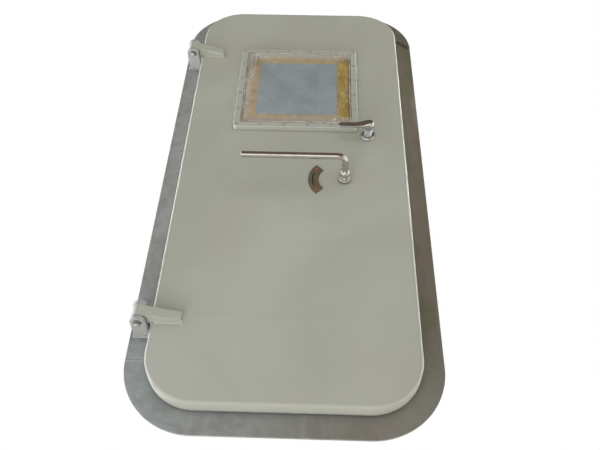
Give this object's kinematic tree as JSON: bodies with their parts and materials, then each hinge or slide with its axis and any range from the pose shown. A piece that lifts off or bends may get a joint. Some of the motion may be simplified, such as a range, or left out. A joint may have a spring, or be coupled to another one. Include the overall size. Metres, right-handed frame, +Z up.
{
  "type": "weathertight hatch door",
  "caption": "Steel weathertight hatch door hinged in a weld-in frame, with a window, dogs worked by one bent-bar handle, and a lever latch.",
  "frame": {"origin": "on the back of the welding flange, at the middle of its bottom edge (the stated point is 5 mm up the face)", "axes": "+Z up the door, +X towards the lock side (right seen from outside), +Y through the frame to the inside; the outside face looks along -Y"},
  "size_m": [0.912, 0.3123, 1.912],
  "materials": {
    "door_paint": "satin grey-green enamel",
    "frame_paint": "satin grey-green enamel",
    "flange_steel": "bare mill plate, mottled",
    "zinc_steel": "zinc plated",
    "polished_steel": "polished stainless",
    "chrome": "polished",
    "latch_steel": "bright",
    "bronze": "machined",
    "dial_brass": "dark tarnished",
    "red_enamel": "enamel",
    "glass": "clear",
    "rubber": "matt",
    "mineral_wool": "fibrous",
    "paper_tape": "crepe paper"
  },
  "bodies": {
    "frame": {"flange_bar_left": "flange_steel", "flange_bar_right": "flange_steel", "flange_bar_bottom": "flange_steel", "flange_bar_top": "flange_steel", "flange_corner_top_right": "flange_steel", "flange_corner_top_left": "flange_steel", "flange_corner_bottom_left": "flange_steel", "flange_corner_bottom_right": "flange_steel", "coaming_ring": "frame_paint", "hinge_ears": "frame_paint", "hinge_pins": "zinc_steel", "hinge_pin_nuts": "zinc_steel", "hinge_washers": "zinc_steel", "dog_keepers": "frame_paint", "latch_strike": "frame_paint"},
    "leaf": {"leaf_skin": "door_paint", "gasket_channel": "door_paint", "door_gasket": "rubber", "leaf_stiffeners": "door_paint", "insulation_slabs": "mineral_wool", "inner_cover": "door_paint", "window_frame": "door_paint", "window_pane": "glass", "window_gaskets": "rubber", "window_lining": "door_paint", "window_inner_frame": "door_paint", "window_screws": "zinc_steel", "window_inner_screws": "zinc_steel", "masking_tape": "paper_tape", "hinge_arm_lower": "door_paint", "hinge_arm_upper": "door_paint", "hinge_bushes": "bronze", "handle_gland": "door_paint", "spindle_bush": "bronze", "dog_studs": "door_paint", "rose_outer": "chrome", "rose_inner": "chrome", "lock_case": "zinc_steel", "indicator_plate": "dial_brass", "indicator_marks": "red_enamel"},
    "main_handle": {"handle_outer": "polished_steel", "handle_inner": "polished_steel", "main_spindle": "polished_steel", "rotor": "zinc_steel"},
    "link_right": {"link_right": "zinc_steel"},
    "link_left": {"link_left": "zinc_steel"},
    "dog_left_lower": {"dog_left_lower": "zinc_steel"},
    "dog_left_middle": {"dog_left_middle": "zinc_steel"},
    "dog_left_upper": {"dog_left_upper": "zinc_steel"},
    "dog_right_lower": {"dog_right_lower": "zinc_steel"},
    "dog_right_middle": {"dog_right_middle": "zinc_steel"},
    "dog_right_upper": {"dog_right_upper": "zinc_steel"},
    "upright_bar_left": {"upright_bar_left": "zinc_steel"},
    "upright_bar_right": {"upright_bar_right": "zinc_steel"},
    "lever": {"lever_outer": "chrome", "lever_inner": "chrome", "latch_spindle": "latch_steel"},
    "latch_bolt": {"latch_bolt": "latch_steel"}
  },
  "joints": [
    {"name": "leaf_swing", "type": "hinge", "parent": "frame", "child": "leaf", "pos_m": [-0.421, -0.0855, 0.946], "axis": [0, 0, -1], "range_deg": [0, 165]},
    {"name": "handle_turn", "type": "hinge", "parent": "leaf", "child": "main_handle", "pos_m": [0.175, -0.064, 0.89], "axis": [0, -1, 0], "range_deg": [-30, 30]},
    {"name": "dog_left_lower_turn", "type": "hinge", "parent": "leaf", "child": "dog_left_lower", "pos_m": [-0.282, 0.0013, 0.34], "axis": [0, -1, 0], "range_deg": [-30, 30]},
    {"name": "dog_left_middle_turn", "type": "hinge", "parent": "leaf", "child": "dog_left_middle", "pos_m": [-0.282, 0.0013, 0.89], "axis": [0, -1, 0], "range_deg": [-30, 30]},
    {"name": "dog_left_upper_turn", "type": "hinge", "parent": "leaf", "child": "dog_left_upper", "pos_m": [-0.282, 0.0013, 1.51], "axis": [0, -1, 0], "range_deg": [-30, 30]},
    {"name": "dog_right_lower_turn", "type": "hinge", "parent": "leaf", "child": "dog_right_lower", "pos_m": [0.282, 0.0013, 0.34], "axis": [0, -1, 0], "range_deg": [-30, 30]},
    {"name": "dog_right_middle_turn", "type": "hinge", "parent": "leaf", "child": "dog_right_middle", "pos_m": [0.282, 0.0013, 0.89], "axis": [0, -1, 0], "range_deg": [-30, 30]},
    {"name": "dog_right_upper_turn", "type": "hinge", "parent": "leaf", "child": "dog_right_upper", "pos_m": [0.282, 0.0013, 1.51], "axis": [0, -1, 0], "range_deg": [-30, 30]},
    {"name": "link_right_pivot", "type": "hinge", "parent": "main_handle", "child": "link_right", "pos_m": [0.175, 0.016, 0.95], "axis": [0, -1, 0], "range_deg": [-30, 30]},
    {"name": "link_left_pivot", "type": "hinge", "parent": "main_handle", "child": "link_left", "pos_m": [0.175, 0.016, 0.83], "axis": [0, -1, 0], "range_deg": [-30, 30]},
    {"name": "upright_bar_left_pivot", "type": "hinge", "parent": "dog_left_middle", "child": "upright_bar_left", "pos_m": [-0.222, 0.016, 0.89], "axis": [0, -1, 0], "range_deg": [-30, 30]},
    {"name": "upright_bar_right_pivot", "type": "hinge", "parent": "dog_right_middle", "child": "upright_bar_right", "pos_m": [0.222, 0.016, 0.89], "axis": [0, -1, 0], "range_deg": [-30, 30]},
    {"name": "lever_turn", "type": "hinge", "parent": "leaf", "child": "lever", "pos_m": [0.26, -0.064, 1.104], "axis": [0, -1, 0], "range_deg": [0, 45]},
    {"name": "bolt_slide", "type": "slide", "parent": "leaf", "child": "latch_bolt", "axis": [1, 0, 0], "range_m": [0, 0.022]}
  ],
  "couplings": [
    {"joint": "dog_left_lower_turn", "follows": "handle_turn", "ratio": 1},
    {"joint": "dog_left_middle_turn", "follows": "handle_turn", "ratio": 1},
    {"joint": "dog_left_upper_turn", "follows": "handle_turn", "ratio": 1},
    {"joint": "dog_right_lower_turn", "follows": "handle_turn", "ratio": 1},
    {"joint": "dog_right_middle_turn", "follows": "handle_turn", "ratio": 1},
    {"joint": "dog_right_upper_turn", "follows": "handle_turn", "ratio": 1},
    {"joint": "link_right_pivot", "follows": "handle_turn", "ratio": -1},
    {"joint": "link_left_pivot", "follows": "handle_turn", "ratio": -1},
    {"joint": "upright_bar_left_pivot", "follows": "handle_turn", "ratio": -1},
    {"joint": "upright_bar_right_pivot", "follows": "handle_turn", "ratio": -1},
    {"joint": "bolt_slide", "follows": "lever_turn", "m_per_rad": 0.028}
  ]
}
